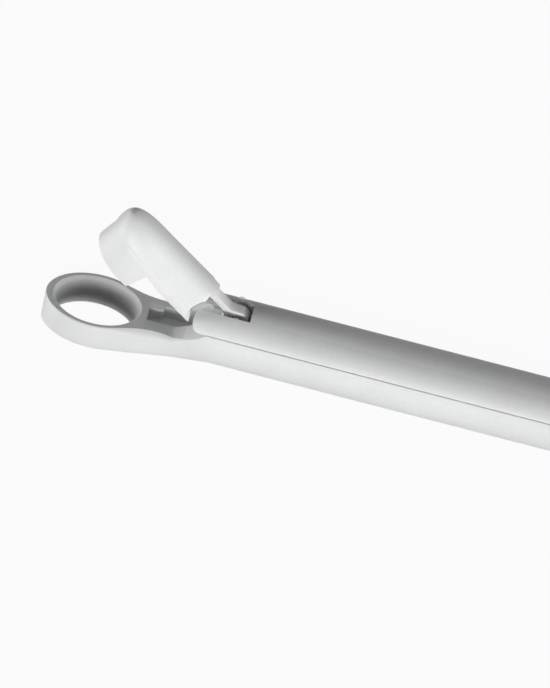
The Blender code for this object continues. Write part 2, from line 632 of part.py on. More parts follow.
def make_branch(name, points, parent, middle_z):
    """A tapered bar of rounded section that follows a curve in the XY plane."""
    loops = []
    for place, heading, t in branch_path(points, 14):
        across = Vector((-heading.y, heading.x))
        share = smooth_step(t, 0.0, 0.8)
        half = BRANCH_ROOT_HALF + (BRANCH_END_HALF - BRANCH_ROOT_HALF) * share
        depth = BRANCH_ROOT_DEPTH + (BRANCH_END_DEPTH - BRANCH_ROOT_DEPTH) * share
        loop = []
        for step in range(20):
            angle = 2 * math.pi * step / 20
            side = math.copysign(abs(math.cos(angle)) ** 0.75, math.cos(angle)) * half
            up = math.copysign(abs(math.sin(angle)) ** 0.75, math.sin(angle)) * depth
            flat = place + across * side
            loop.append(Vector((flat.x, flat.y, middle_z + up)))
        loops.append(loop)
    return bridge(name, loops, parent, sharp_angle=50.0)


def make_ring(name, centre, parent, middle_z):
    """A finger ring with an oval bar, as thick as the hub, flat where it lies."""
    builder = bmesh.new()
    around = 40
    section = 16
    mean = RING_INNER_RADIUS + RING_BAR_HALF
    rows = []
    for turn in range(around):
        angle = 2 * math.pi * turn / around
        row = []
        for step in range(section):
            spin = 2 * math.pi * step / section
            out = mean + RING_BAR_HALF * math.cos(spin)
            up = math.copysign(abs(math.sin(spin)) ** 0.8, math.sin(spin)) * HUB_THICKNESS / 2
            row.append(builder.verts.new((centre.x + out * math.cos(angle),
                                          centre.y + out * math.sin(angle), middle_z + up)))
        rows.append(row)
    for turn in range(around):
        row = rows[turn]
        following = rows[(turn + 1) % around]
        for step in range(section):
            after = (step + 1) % section
            builder.faces.new((row[step], following[step], following[after], row[after]))
    return add_object(name, builder, parent, sharp_angle=60.0)


def ring_joint(root, centre):
    """Where a branch that comes from its root meets the middle of a ring's bar."""
    away = (root - centre).normalized()
    return centre + away * (RING_INNER_RADIUS + RING_BAR_HALF)


def make_handle_frame(material):
    """The hub with its collar, the rear branch and the thumb ring, forged as one piece."""
    hub = turned_along_z("handle_frame", HINGE,
                         [(HUB_RADIUS - HUB_EDGE, 0.0), (HUB_RADIUS, HUB_EDGE),
                          (HUB_RADIUS, HUB_THICKNESS - HUB_EDGE), (HUB_RADIUS - HUB_EDGE, HUB_THICKNESS)],
                         ROUND_FACETS)
    collar_profile = [(-COLLAR_AHEAD, COLLAR_FRONT_RADIUS), (-COLLAR_AHEAD + COLLAR_TAPER, COLLAR_RADIUS),
                      (HUB_BEHIND_HINGE - 1.0 * MM, COLLAR_RADIUS), (HUB_BEHIND_HINGE, COLLAR_RADIUS - 0.8 * MM)]
    loops = []
    for x, radius in collar_profile:
        loops.append([Vector((x, y, z)) for y, z in circle((0.0, ROD_Z), radius, ROUND_FACETS)])
    collar = bridge("guide_collar", loops)
    root = Vector((2.0 * MM, -HINGE_BELOW + 0.6 * MM))
    end = ring_joint(root, THUMB_RING_AT)
    branch = make_branch("guide_rear_branch",
                         (root, root + Vector((12.0, -3.0)) * MM, end + Vector((-9.0, 9.5)) * MM, end), None, ROD_Z)
    join(hub, collar, branch, make_ring("guide_thumb_ring", THUMB_RING_AT, None, ROD_Z))

    reach = 20.0 * MM
    cut(hub, box("cut_hub_top", (-reach, PARTING_LEVEL, -1.0 * MM), (reach, reach, HUB_THICKNESS + 1.0 * MM)))
    cut(hub, rod_along_x("cut_shaft_socket", SHAFT_RADIUS + SOCKET_GAP, -reach, SHAFT_END_X + SOCKET_GAP))
    slot_half = TONGUE_HALF + SIDE_GAP
    lever_space = [(-reach, -reach), (6.5 * MM, -reach), (6.5 * MM, -HINGE_BELOW - 4.0 * MM)]
    lever_space += arc((HINGE.x, HINGE.y), LEVER_BOSS_RADIUS + LEVER_SWING, -20.0, 60.0, 8)
    lever_space += [(TONGUE_WIDTH_HALF + TONGUE_SWING, reach), (-TONGUE_WIDTH_HALF - TONGUE_SWING, reach),
                    (-TONGUE_WIDTH_HALF - TONGUE_SWING, -SHAFT_RADIUS - 1.2 * MM),
                    (-reach, -SHAFT_RADIUS - 1.2 * MM)]
    cut(hub, prism("cut_lever_slot", lever_space, ROD_Z - slot_half, ROD_Z + slot_half))
    shank = SCREW_RADIUS + SOCKET_GAP
    head = SCREW_HEAD_RADIUS + SOCKET_GAP
    seat = HUB_THICKNESS + SCREW_HEAD_PROUD - SCREW_HEAD_HEIGHT - SOCKET_GAP
    cut(hub, turned_along_z("cut_hinge_hole", HINGE,
                            [(shank, -1.0 * MM), (shank, seat), (head, seat), (head, HUB_THICKNESS + 1.0 * MM)],
                            ROUND_FACETS))
    cut(hub, retaining_pin_hole("cut_hub_retaining_hole"))
    return finish(hub, material)


def make_front_handle(axis, material):
    """The moving lever: tongue, hinge boss, branch and finger ring, in its hinge's frame."""
    hinge = Vector((HINGE.x, HINGE.y))
    tip = (0.0, LINK_ARM)
    boss_side = math.degrees(math.acos(TONGUE_WIDTH_HALF / LEVER_BOSS_RADIUS))
    outline = [(-TONGUE_WIDTH_HALF, LINK_ARM - TONGUE_SHOULDER)]
    outline += arc((0.0, 0.0), LEVER_BOSS_RADIUS, 180.0 - boss_side, 230.0, 12)
    ring = FINGER_RING_AT - hinge
    root = Vector((0.0, -HUB_RADIUS - 0.6 * MM))
    low = -HUB_RADIUS - 5.0 * MM
    outline += [(-2.4 * MM, low + 4.0 * MM), (-2.2 * MM, low), (2.2 * MM, low), (2.6 * MM, low + 4.0 * MM)]
    outline += arc((0.0, 0.0), LEVER_BOSS_RADIUS, -40.0, boss_side, 12)
    outline += [(TONGUE_WIDTH_HALF, LINK_ARM - TONGUE_SHOULDER)]
    outline += arc(tip, TONGUE_TIP_RADIUS, 0.0, 180.0, 12)
    lever = prism("front_handle", outline, -TONGUE_HALF, TONGUE_HALF, axis)

    end = ring_joint(root, ring)
    branch = make_branch("guide_front_branch",
                         (root, root + Vector((0.0, -14.0)) * MM, end + Vector((-3.0, 13.0)) * MM, end),
                         axis, 0.0)
    clear = turned_along_z("cut_branch_root", (0.0, 0.0),
                           [(HUB_RADIUS + 0.35 * MM, -5.0 * MM), (HUB_RADIUS + 0.35 * MM, 5.0 * MM)],
                           ROUND_FACETS, axis)
    cut(branch, clear)
    join(lever, branch, make_ring("guide_finger_ring", ring, axis, 0.0))
    hole = turned_along_z("cut_lever_hinge", (0.0, 0.0),
                          [(SCREW_RADIUS + PIN_CLEARANCE, -5.0 * MM), (SCREW_RADIUS + PIN_CLEARANCE, 5.0 * MM)],
                          ROUND_FACETS, axis)
    swing = LINK_ARM / math.cos(HANDLE_TRAVEL / 2)
    link_eye = prism("cut_link_eye", stadium(tip, (0.0, swing), LINK_PIN_RADIUS + EYE_GAP, 12),
                     -5.0 * MM, 5.0 * MM, axis)
    cut(lever, hole, link_eye)
    return finish(lever, material)


def make_hinge_screw(material):
    """The slotted screw on which the front handle turns."""
    top = HUB_THICKNESS + SCREW_HEAD_PROUD
    seat = top - SCREW_HEAD_HEIGHT
    profile = [(SCREW_RADIUS - 0.2 * MM, 0.2 * MM), (SCREW_RADIUS, 0.4 * MM), (SCREW_RADIUS, seat),
               (SCREW_HEAD_RADIUS, seat), (SCREW_HEAD_RADIUS, top - 0.15 * MM),
               (SCREW_HEAD_RADIUS - 0.15 * MM, top)]
    screw = turned_along_z("handle_pivot_screw", HINGE, profile, ROUND_FACETS)
    wide = SCREW_HEAD_RADIUS + 1.0 * MM
    cut(screw, box("cut_screw_slot", (HINGE.x - SCREW_SLOT_HALF, HINGE.y - wide, top - SCREW_SLOT_DEPTH),
                   (HINGE.x + SCREW_SLOT_HALF, HINGE.y + wide, top + 1.0 * MM)))
    return finish(screw, material)


def build():
    body_steel = steel("satin_steel", (0.62, 0.63, 0.64), 0.34)
    slider_steel = steel("satin_steel_slider", (0.62, 0.63, 0.64), 0.34)
    jaw_steel = steel("satin_steel_jaw", (0.66, 0.67, 0.68), 0.32)
    pin_steel = steel("polished_pin_steel", (0.7, 0.71, 0.72), 0.22)
    screw_steel = steel("screw_steel", (0.58, 0.59, 0.6), 0.3)

    jaw_axis = add_axis("jaw_axis", PIVOT, -JAW_OPENING)
    handle_axis = add_axis("handle_axis", HINGE, -HANDLE_TRAVEL / 2)

    make_lower_jaw(jaw_steel)
    make_fixed_shaft(body_steel)
    make_slider(slider_steel)
    make_upper_jaw(jaw_axis, jaw_steel)
    make_handle_frame(body_steel)
    make_front_handle(handle_axis, body_steel)
    make_hinge_screw(screw_steel)

    make_pin("jaw_pivot_pin", PIVOT, ROD_Z - SHAFT_RADIUS + 0.1 * MM,
             ROD_Z + SHAFT_RADIUS - BLIND_WALL - 0.05 * MM, JAW_PIN_RADIUS, pin_steel)
    surface = slider_surface(DRIVE_PIN.y)
    make_pin("drive_pin", DRIVE_PIN, ROD_Z - surface + 0.1 * MM,
             ROD_Z + drive_pin_reach() - 0.05 * MM, DRIVE_PIN_RADIUS, pin_steel)
    make_pin("link_pin", LINK_PIN, ROD_Z - LINK_BLOCK_HALF_WIDTH + 0.05 * MM,
             ROD_Z + LINK_BLOCK_HALF_WIDTH - 0.05 * MM, LINK_PIN_RADIUS, pin_steel)
    make_pin("shaft_retaining_pin", (-RETAINING_PIN_AHEAD, RETAINING_PIN_LEVEL), ROD_Z - COLLAR_RADIUS + 0.2 * MM,
             ROD_Z + COLLAR_RADIUS - 0.2 * MM, RETAINING_PIN_RADIUS, pin_steel)
    for name, x in stud_places():
        make_stud("%s_guide_stud" % name, x, pin_steel)


build()
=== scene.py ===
"""Looks of the nasal cutting forceps: fine jaws and shaft, satin steel, a pale floor and soft light.

Places ahead are measured from the jaw pivot towards the tip, and levels from the shaft's axis.
The upper jaw is made closed, in the frame of its pivot. All sizes are in metres.
"""
import math

import bmesh
import bpy
from mathutils import Matrix, Vector


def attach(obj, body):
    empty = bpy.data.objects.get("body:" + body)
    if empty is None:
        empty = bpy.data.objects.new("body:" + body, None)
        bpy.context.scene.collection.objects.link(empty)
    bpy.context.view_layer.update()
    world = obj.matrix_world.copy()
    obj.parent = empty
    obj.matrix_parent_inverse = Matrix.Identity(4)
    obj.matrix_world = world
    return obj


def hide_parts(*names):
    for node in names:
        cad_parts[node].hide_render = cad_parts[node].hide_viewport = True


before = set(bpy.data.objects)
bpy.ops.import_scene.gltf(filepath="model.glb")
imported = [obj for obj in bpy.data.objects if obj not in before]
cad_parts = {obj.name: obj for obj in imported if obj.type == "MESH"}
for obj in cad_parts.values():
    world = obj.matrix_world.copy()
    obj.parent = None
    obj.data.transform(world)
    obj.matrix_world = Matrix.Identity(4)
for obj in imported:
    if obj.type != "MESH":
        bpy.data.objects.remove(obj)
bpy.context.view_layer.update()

MM = 0.001
AXIS_Z = 3.5 * MM                  # height of the shaft's axis above the floor

# Sizes shared with the CAD model: shaft and lower jaw
WORKING_LENGTH = 130.0 * MM
SHAFT_RADIUS = 2.5 * MM
JAW_OPENING = math.radians(41.0)
RING_LENGTH_RADIUS = 3.7 * MM
RING_WIDTH_RADIUS = 2.56 * MM
HOLE_LENGTH_RADIUS = 3.0 * MM
HOLE_WIDTH_RADIUS = 2.06 * MM
RING_CENTRE_AHEAD = 9.1 * MM
JAW_DEPTH = 2.88 * MM              # of the jaw's underside
JAW_FLAT = -0.3 * MM               # level of the jaw's flat face
PARTING_LEVEL = 1.24 * MM          # where the slider meets the fixed shaft
WAIST_HALF = 1.9 * MM
WAIST_AHEAD = 3.8 * MM
ROUND_AHEAD = 0.2 * MM             # the section is round from here
SQUARE_AHEAD = 6.5 * MM            # and a full rounded box up to here
NECK_SQUARENESS = 9.0              # exponent of the section's rounded box
SQUARENESS_FADE = 0.6              # exponent of its change to a circle
SHAFT_EDGE = 0.05 * MM             # broken edge along the parting line
RAMP_START_AHEAD = 3.45 * MM
RAMP_END_AHEAD = 1.1 * MM
RAMP_HOLLOW = 1.35                 # exponent of the ramp's rise
JAW_SLOT_HALF = 0.62 * MM
JAW_SLOT_AHEAD = 5.43 * MM
JAW_SLOT_BEHIND = 1.75 * MM
JAW_SLOT_FLOOR = -1.3 * MM
RELIEF_WIDTH = 0.37 * MM           # the slot is wider by this on its far side
RELIEF_AHEAD = 4.4 * MM
RELIEF_REAR_AHEAD = 1.2 * MM
SHAFT_END_X = 8.0 * MM
TONGUE_HALF = 1.2 * MM
TONGUE_SLOT_HALF = 2.35 * MM

# Sizes shared with the CAD model: upper jaw
DRIVE_ARM = 1.96 * MM              # height of the drive pin above the jaw pivot
PUNCH_CLEARANCE = 0.15 * MM        # between the plug and the hole
PUNCH_DEPTH = 1.7 * MM
UNDERSIDE_LEVEL = -0.05 * MM
CREASE_HEIGHT = 0.85 * MM
CROWN_HEIGHT = 2.4 * MM
PLUG_REAR_AHEAD = 8.17 * MM
NOTCH_HEIGHT = 0.2 * MM
NOTCH_FRONT_AHEAD = 6.5 * MM
CROWN_REAR_AHEAD = 3.35 * MM
CHEEK_RELIEF_AHEAD = 3.84 * MM
CHEEK_RELIEF_REAR_AHEAD = 1.0 * MM
CHEEK_RELIEF_HALF = 0.72 * MM
SHOULDER_AHEAD = 3.2 * MM
SHOULDER_HEIGHT = 1.05 * MM
SHOULDER_RADIUS = 1.02 * MM
LEDGE_STEP = 0.17 * MM             # of the cheek relief above the shoulder's centre
TANG_HALF_THICKNESS = 0.4 * MM
TANG_TOP = 2.2 * MM
TANG_BOTTOM = 1.72 * MM
TANG_BURIED = 1.0 * MM             # length of the tang inside the crown
BEND_AHEAD = 2.3 * MM              # centre of the bend under the tang
BEND_LEVEL = 0.62 * MM
EYE_RADIUS = 0.82 * MM
EYE_SHOULDER = 0.95 * MM           # the tang's top ends this far ahead of the eye
FOOT_RADIUS = 0.85 * MM

# Sizes shared with the CAD model: slider, pins and studs
SLIDER_BASE = PARTING_LEVEL + 0.05 * MM
SLIDER_NOSE_AHEAD = 2.2 * MM
SLIDER_SLOT_HALF = 0.88 * MM
SLIDER_SLOT_BEHIND = 1.68 * MM
LINK_ABOVE = 2.5 * MM              # link pin above the shaft's axis
LINK_PIN_RADIUS = 0.6 * MM
LINK_BLOCK_HALF_LENGTH = 5.6 * MM
LINK_BLOCK_TOP = 4.3 * MM
LINK_BLOCK_HALF_WIDTH = 2.45 * MM
BLOCK_CORNER = 1.6 * MM
BLOCK_STEP = 0.02 * MM             # the block's base above the slider's
BLOCK_RAMP = 4.0 * MM              # length of the slope ahead of the block
BLOCK_RAMP_SINK = 0.4 * MM         # of the slope's foot inside the bar
BAR_END_INSET = 0.5 * MM           # of the round bar's end inside the block
TONGUE_TIP_RADIUS = 1.25 * MM
TONGUE_SWING = 0.75 * MM           # room each side of the tongue's tip
JAW_PIN_RADIUS = 0.42 * MM
DRIVE_PIN_RADIUS = 0.32 * MM
DRIVE_PIN_SKIN = 0.06 * MM         # metal left over the drive pin's blind end
BLIND_WALL = 0.5 * MM              # metal left over the pivot pin's blind end
SOCKET_GAP = 0.05 * MM
PIN_CLEARANCE = 0.04 * MM
EYE_GAP = 0.06 * MM
SIDE_GAP = 0.08 * MM
STUD_STEM_RADIUS = 0.6 * MM
STUD_HEAD_RADIUS = 1.1 * MM
STUD_HEAD_THICKNESS = 0.6 * MM
STUD_LIP = 1.1 * MM
STUD_SEAT_DEPTH = 0.8 * MM
STUD_END_GAP = 0.15 * MM
STUD_ENTRY_RUN = 0.6 * MM
STUD_FLOOR_GAP = 0.3 * MM
FRONT_STUD_BEHIND_PIVOT = 14.0 * MM
REAR_STUD_AHEAD_OF_HINGE = 24.0 * MM
RETAINING_PIN_RADIUS = 0.6 * MM
RETAINING_PIN_AHEAD = 9.5 * MM     # of the handle hinge
RETAINING_PIN_LEVEL = -0.9 * MM

# Finer shapes than the CAD model's
HOLE_CHAMFER = 0.2 * MM
NECK_AHEAD = 8.0 * MM              # where the neck leaves the ring
RING_EDGE = 0.1 * MM
NECK_EDGE = 0.42 * MM              # widest rounding along the neck's flat face
ROUNDING_START_AHEAD = 8.4 * MM
ROUNDING_FULL_AHEAD = 5.4 * MM
ROUNDING_FADE_AHEAD = 5.0 * MM
ROUNDING_END_AHEAD = 1.6 * MM
EDGE_THIN_AHEAD = 2.0 * MM
STATION_SPACING = 0.16 * MM
FINE_END_BEHIND = 0.4 * MM         # behind the pivot, the sections are far apart
ROUND_BEHIND = 3.0 * MM
SHAFT_BEVEL = 0.07 * MM
JAW_BEVEL = 0.05 * MM
SLIDER_BEVEL = 0.09 * MM
BLOCK_BEVEL = 0.5 * MM
PLUG_BLEND_HEIGHT = 0.35 * MM      # the plug's oval turns into the fuller front over this height
CROWN_LEAN_IN = math.radians(24.0)
CROWN_RISE = 0.3                   # exponent of the crown's rise from its front
GROOVE_WIDTH = 0.13 * MM
GROOVE_DEPTH = 0.09 * MM
GROOVE_START = 1.9 * MM            # ahead of the ring's centre
GROOVE_FULL = 0.6 * MM
FRONT_LEAN = 0.2                   # lean of the front wall for each unit of height
FRONT_SWELL = 0.14 * MM
FRONT_FULLNESS = 2.35              # exponent of the front's oval above the plug
FRONT_ROUNDNESS = 0.88             # exponent of the crown's arch at the front
FRONT_BLEND = 1.0 * MM             # the arch is round from here behind the ring's centre

CLEAR = 1.0 * MM                   # how far a cutter reaches past a face
JAW_REACH = 3.0 * MM               # half-width of the cutters across the upper jaw

PIVOT = Vector((-(WORKING_LENGTH - RING_CENTRE_AHEAD - RING_LENGTH_RADIUS), -0.2 * MM, AXIS_Z))
STROKE = 2 * DRIVE_ARM * math.tan(JAW_OPENING / 2)
LINK_PIN = Vector((STROKE / 2, LINK_ABOVE, AXIS_Z))

# Camera, lamps and floor
CAMERA_TARGET = Vector((PIVOT.x + 3.74 * MM, -0.04 * MM, AXIS_Z + 0.04 * MM))
CAMERA_AWAY = Vector((0.0, 0.731, 0.682))
CAMERA_UP = Vector((-0.25, 0.660, -0.708))
CAMERA_DISTANCE = 0.4026
LAMP_DISTANCE = 0.6
LAMP_SIZE = 0.3
LAMPS = {"right_lamp": ((0.9, 0.06, 0.42), 2.7),
         "left_lamp": ((-0.92, 0.08, 0.35), 2.2),
         "upper_lamp": ((0.0, 0.05, 1.0), 2.1)}
WORLD_STRENGTH = 0.05
FLOOR_HALF = 3.0
FLOOR_CENTRE_X = -0.04
FLOOR_LEVEL = -0.05 * MM
FLOOR_TONE = 0.2
FLOOR_GLOW_SHARE = 0.95

# Steels: colour, roughness, metallic share and strength of the grain
STEELS = {"shaft_steel": ((0.72, 0.725, 0.73), 0.55, 0.05, 0.12),
          "jaw_steel": ((0.78, 0.785, 0.79), 0.55, 0.05, 0.1),
          "handle_steel": ((0.62, 0.625, 0.63), 0.4, 0.5, 0.15),
          "pin_steel": ((0.7, 0.705, 0.71), 0.3, 0.6, 0.05)}
STEEL_SPECULAR = 0.2
GRAIN_STRETCH = 0.12               # of the grain's frequency along the shaft
GRAIN_SCALE = 9000.0
GRAIN_HEIGHT = 0.01 * MM
CLOUD_SCALE = 420.0
SPECK_SCALE = 3800.0
SPECK_SHARE = 0.45
DARK_TINT = 0.9
LIGHT_TINT = 1.07
ROUGHNESS_BELOW = 0.06
ROUGHNESS_ABOVE = 0.08
HANDLE_NODES = ("handle_frame", "front_handle", "handle_pivot_screw")
REPLACED_NODES = ("lower_jaw", "fixed_shaft", "upper_jaw", "slider")


def smooth_step(value, start, end):
    share = min(max((value - start) / (end - start), 0.0), 1.0)
    return share * share * (3.0 - 2.0 * share)


def ellipse_share(distance, radius, fullness=2.0):
    """Half-height of a unit ellipse, or of a fuller oval, at a distance from its centre."""
    share = min(abs(distance) / radius, 1.0)
    return (1.0 - share ** fullness) ** (1.0 / fullness)


def arc(centre, radius, start, end, steps):
    """Points on a circle, angles in degrees."""
    points = []
    for step in range(steps + 1):
        angle = math.radians(start + (end - start) * step / steps)
        points.append((centre[0] + radius * math.cos(angle), centre[1] + radius * math.sin(angle)))
    return points


def circle(centre, radius, facets):
    return arc(centre, radius, 0.0, 360.0 * (facets - 1) / facets, facets - 1)


def stadium(start, end, radius, steps):
    """A long hole between two centres."""
    heading = math.degrees(math.atan2(end[1] - start[1], end[0] - start[0]))
    return (arc(end, radius, heading - 90.0, heading + 90.0, steps)
            + arc(start, radius, heading + 90.0, heading + 270.0, steps))


def add_object(name, builder):
    """Make an object from a bmesh."""
    mesh = bpy.data.meshes.new(name)
    builder.to_mesh(mesh)
    builder.free()
    piece = bpy.data.objects.new(name, mesh)
    bpy.context.collection.objects.link(piece)
    return piece


def bridge(name, loops):
    """A closed solid through a row of loops with the same number of points."""
    builder = bmesh.new()
    rings = [[builder.verts.new(point) for point in loop] for loop in loops]
    count = len(rings[0])
    for first, second in zip(rings, rings[1:]):
        for index in range(count):
            after = (index + 1) % count
            builder.faces.new((first[index], first[after], second[after], second[index]))
    builder.faces.new(rings[0])
    builder.faces.new(list(reversed(rings[-1])))
    bmesh.ops.recalc_face_normals(builder, faces=builder.faces)
    return add_object(name, builder)


def prism(outline, low, high):
    """An outline in the XY plane, extruded from one height to another."""
    return bridge("tool", [[Vector((x, y, z)) for x, y in outline] for z in (low, high)])


def box(low, high):
    outline = [(low[0], low[1]), (high[0], low[1]), (high[0], high[1]), (low[0], high[1])]
    return prism(outline, low[2], high[2])


def turned_along_z(place, radius, low, high, facets=48):
    return prism(circle(place, radius, facets), low, high)


def turned_along_y(x, radius, low, high, facets=48):
    loops = [[Vector((px, level, pz)) for px, pz in circle((x, AXIS_Z), radius, facets)]
             for level in (low, high)]
    return bridge("tool", loops)


def carve(piece, tools, operation="DIFFERENCE"):
    """Apply booleans with tool objects, which are removed afterwards."""
    for tool in tools:
        modifier = piece.modifiers.new("Boolean", "BOOLEAN")
        modifier.operation = operation
        modifier.solver = "EXACT"
        modifier.object = tool
    settle(piece)
    for tool in tools:
        bpy.data.objects.remove(tool, do_unlink=True)


def settle(piece):
    """Replace the mesh of a piece by its evaluated mesh, without modifiers."""
    graph = bpy.context.evaluated_depsgraph_get()
    mesh = bpy.data.meshes.new_from_object(piece.evaluated_get(graph))
    piece.modifiers.clear()
    piece.data = mesh


def dress_edges(piece, width, angle, segments=2):
    """Bevel the edges that are sharper than an angle in degrees."""
    bevel = piece.modifiers.new("Edges", "BEVEL")
    bevel.width = width
    bevel.segments = segments
    bevel.limit_method = "ANGLE"
    bevel.angle_limit = math.radians(angle)
    bevel.use_clamp_overlap = True
    settle(piece)


def shade(piece, angle):
    """Shade smooth, apart from the edges that are sharper than an angle in degrees."""
    piece.data.shade_smooth()
    piece.data.set_sharp_from_angle(angle=math.radians(angle))


def shaft_half_width(x):
    """Half-width of the lower jaw's outline at a place along the shaft."""
    ahead = PIVOT.x - x
    if ahead < WAIST_AHEAD:
        return WAIST_HALF + (SHAFT_RADIUS - WAIST_HALF) * smooth_step(-ahead, -WAIST_AHEAD, -ROUND_AHEAD)
    if ahead < NECK_AHEAD:
        return neck_half_width(ahead)
    return RING_WIDTH_RADIUS * ellipse_share(ahead - RING_CENTRE_AHEAD, RING_LENGTH_RADIUS)


def neck_half_width(ahead):
    """A curve that leaves the ring along its edge and runs out level at the waist."""
    beside = (RING_CENTRE_AHEAD - NECK_AHEAD) / RING_LENGTH_RADIUS
    start = RING_WIDTH_RADIUS * math.sqrt(1.0 - beside * beside)
    length = NECK_AHEAD - WAIST_AHEAD
    slope = -RING_WIDTH_RADIUS * RING_WIDTH_RADIUS * beside / (RING_LENGTH_RADIUS * start)
    share = (NECK_AHEAD - ahead) / length
    fading = smooth_step(share, 0.0, 1.0)
    bend = share * (1.0 - share) ** 2
    return start + (WAIST_HALF - start) * fading + slope * length * bend


def shaft_top(ahead):
    """Level of the upper face: the jaw's flat, a hollow ramp, the parting level."""
    share = min(max((RAMP_START_AHEAD - ahead) / (RAMP_START_AHEAD - RAMP_END_AHEAD), 0.0), 1.0)
    return JAW_FLAT + (PARTING_LEVEL - JAW_FLAT) * share ** RAMP_HOLLOW


def shaft_edge(ahead):
    """Size of the rounding between the upper face and the wall, which is widest at the neck."""
    neck = smooth_step(-ahead, -ROUNDING_START_AHEAD, -ROUNDING_FULL_AHEAD)
    neck -= smooth_step(-ahead, -ROUNDING_FADE_AHEAD, -ROUNDING_END_AHEAD)
    thinning = smooth_step(-ahead, -ROUNDING_FADE_AHEAD, -EDGE_THIN_AHEAD)
    base = RING_EDGE + (SHAFT_EDGE - RING_EDGE) * thinning
    return base + (NECK_EDGE - base) * neck


def shaft_section(x):
    """A rounded box at the jaw and a circle behind it, with the flat upper face cut off."""
    ahead = PIVOT.x - x
    top = shaft_top(ahead)
    edge = shaft_edge(ahead)
    round_share = smooth_step(-ahead, -SQUARE_AHEAD, -ROUND_AHEAD)
    squareness = NECK_SQUARENESS + (2.0 - NECK_SQUARENESS) * round_share ** SQUARENESS_FADE
    depth = JAW_DEPTH + (SHAFT_RADIUS - JAW_DEPTH) * round_share
    half_width = shaft_half_width(x)
    level = top - edge
    start = math.copysign(math.asin((abs(level) / depth) ** (squareness / 2.0)), level)
    wall = half_width * math.cos(start) ** (2.0 / squareness)
    side = []
    edge_steps = 6
    # A soft rounding, flatter than a quarter circle
    for step in range(edge_steps):
        share = step / edge_steps
        side.append((wall - edge * (1.0 - share) * (1.0 - 0.5 * share),
                     top - edge * share * (0.9 + 0.1 * share)))
    wall_steps = 32
    for step in range(wall_steps + 1):
        angle = start - (math.pi / 2.0 + start) * step / wall_steps
        across = math.cos(angle) ** (2.0 / squareness) if step < wall_steps else 0.0
        down = math.copysign(abs(math.sin(angle)) ** (2.0 / squareness), math.sin(angle))
        side.append((half_width * across, depth * down))
    loop = [Vector((x, y, AXIS_Z + z)) for z, y in side]
    loop += [Vector((x, y, AXIS_Z - z)) for z, y in reversed(side[:-1])]
    return loop


def stud_tools(x):
    """A keyhole slot: narrow at the lip, wide below it, with a round entry behind."""
    head = STUD_HEAD_RADIUS + STUD_END_GAP
    stem = STUD_STEM_RADIUS + SIDE_GAP
    entry_x = x + STUD_STEM_RADIUS + STUD_END_GAP + head + STUD_ENTRY_RUN
    lip = PARTING_LEVEL - STUD_LIP
    floor = lip - STUD_HEAD_THICKNESS - STUD_FLOOR_GAP
    top = PARTING_LEVEL + 0.5 * CLEAR
    return [box((x - STROKE - head, floor, AXIS_Z - head), (entry_x, lip, AXIS_Z + head)),
            box((x - STROKE - STUD_STEM_RADIUS - STUD_END_GAP, floor + 0.1 * CLEAR, AXIS_Z - stem),
                (entry_x, top, AXIS_Z + stem)),
            turned_along_y(entry_x, head, floor - 0.05 * CLEAR, top)]


def shaft_stations():
    """Places of the sections: close together round the front, even along the neck, few behind it."""
    stations = []
    front_steps = 40
    first = 3.0
    for step in range(front_steps):
        angle = math.radians(first + (90.0 - first) * step / (front_steps - 1))
        stations.append(PIVOT.x - RING_CENTRE_AHEAD - RING_LENGTH_RADIUS * math.cos(angle))
    start = stations[-1]
    end = PIVOT.x + FINE_END_BEHIND
    steps = round((end - start) / STATION_SPACING)
    stations += [start + (end - start) * (step + 1) / steps for step in range(steps)]
    stations += [PIVOT.x + ROUND_BEHIND, SHAFT_END_X]
    return stations


def jaw_hole():
    """The cutter for the oval hole, with a narrow chamfer round the flat."""
    levels = [(0.0, -JAW_DEPTH - CLEAR), (0.0, JAW_FLAT - HOLE_CHAMFER),
              (HOLE_CHAMFER, JAW_FLAT), (HOLE_CHAMFER, JAW_FLAT + 0.5 * CLEAR)]
    loops = []
    for extra, level in levels:
        loop = []
        for x, z in circle((0.0, 0.0), 1.0, 128):
            loop.append(Vector((PIVOT.x - RING_CENTRE_AHEAD + x * (HOLE_LENGTH_RADIUS + extra), level,
                                AXIS_Z + z * (HOLE_WIDTH_RADIUS + extra))))
        loops.append(loop)
    return bridge("tool", loops)


def make_lower_shaft():
    """The fixed half of the shaft, one piece with the fenestrated lower jaw."""
    piece = bridge("lower_shaft", [shaft_section(x) for x in shaft_stations()])
    above = PARTING_LEVEL + CLEAR
    slot = box((PIVOT.x - JAW_SLOT_AHEAD, JAW_SLOT_FLOOR, AXIS_Z - JAW_SLOT_HALF),
               (PIVOT.x + JAW_SLOT_BEHIND, above, AXIS_Z + JAW_SLOT_HALF))
    relief = box((PIVOT.x - RELIEF_AHEAD, JAW_SLOT_FLOOR, AXIS_Z - JAW_SLOT_HALF - RELIEF_WIDTH),
                 (PIVOT.x - RELIEF_REAR_AHEAD, above, AXIS_Z))
    pin_hole = turned_along_z(PIVOT, JAW_PIN_RADIUS + SOCKET_GAP, AXIS_Z - SHAFT_RADIUS - CLEAR,
                              AXIS_Z + SHAFT_RADIUS - BLIND_WALL)
    tongue = box((-TONGUE_SLOT_HALF, -SHAFT_RADIUS - CLEAR, AXIS_Z - TONGUE_HALF - SIDE_GAP),
                 (TONGUE_SLOT_HALF, above, AXIS_Z + TONGUE_HALF + SIDE_GAP))
    retaining = turned_along_z((-RETAINING_PIN_AHEAD, RETAINING_PIN_LEVEL),
                               RETAINING_PIN_RADIUS + SOCKET_GAP, -CLEAR, 2 * AXIS_Z + CLEAR)
    carve(piece, [jaw_hole(), slot, relief, pin_hole, tongue, retaining]
          + stud_tools(PIVOT.x + FRONT_STUD_BEHIND_PIVOT) + stud_tools(-REAR_STUD_AHEAD_OF_HINGE))
    dress_edges(piece, SHAFT_BEVEL, angle=60.0)
    shade(piece, angle=27.0)
    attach(piece, "frame")
    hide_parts("lower_jaw", "fixed_shaft")
    return piece


